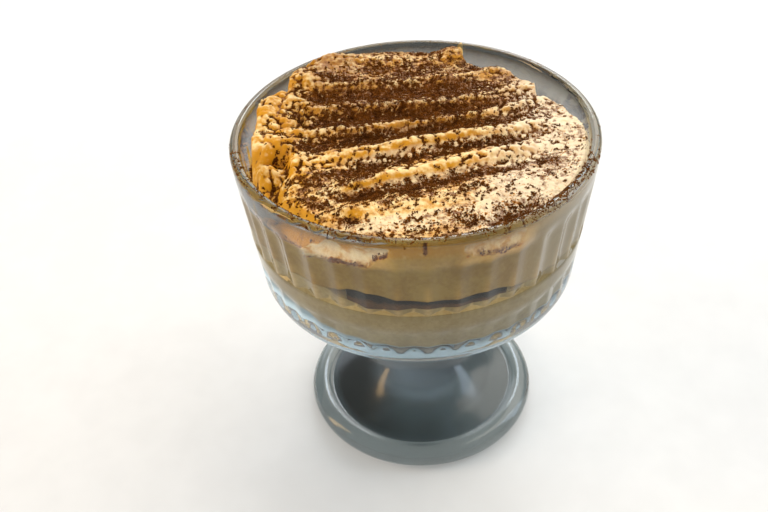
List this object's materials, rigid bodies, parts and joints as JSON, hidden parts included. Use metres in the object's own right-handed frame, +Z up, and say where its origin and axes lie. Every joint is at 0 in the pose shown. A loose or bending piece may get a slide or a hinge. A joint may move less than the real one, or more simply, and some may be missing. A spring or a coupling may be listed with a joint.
{
  "type": "tiramisu in a footed glass",
  "caption": "Tiramisu dessert filled into a footed pressed-glass coupe: ridged mascarpone cream dusted with cocoa over a coffee-soaked sponge layer.",
  "frame": {"origin": "centre of the foot's standing ring, on the surface the glass stands on", "axes": "+Z up along the axis of the glass, -Y towards the front where the sponge layer shows"},
  "size_m": [0.1052, 0.1052, 0.1096],
  "materials": {
    "glass": "clear pressed glass, polished, faintly blue-grey",
    "cream_base": "smooth beige cream stained by coffee, with fine brown specks",
    "sponge": "wet, dark coffee-soaked biscuit with an open crumb",
    "cream_top": "soft whipped cream, satin, dusted with dark brown cocoa"
  },
  "bodies": {
    "root": {"glass": "glass", "cream_base": "cream_base", "sponge": "sponge", "cream_top": "cream_top"}
  },
  "joints": []
}
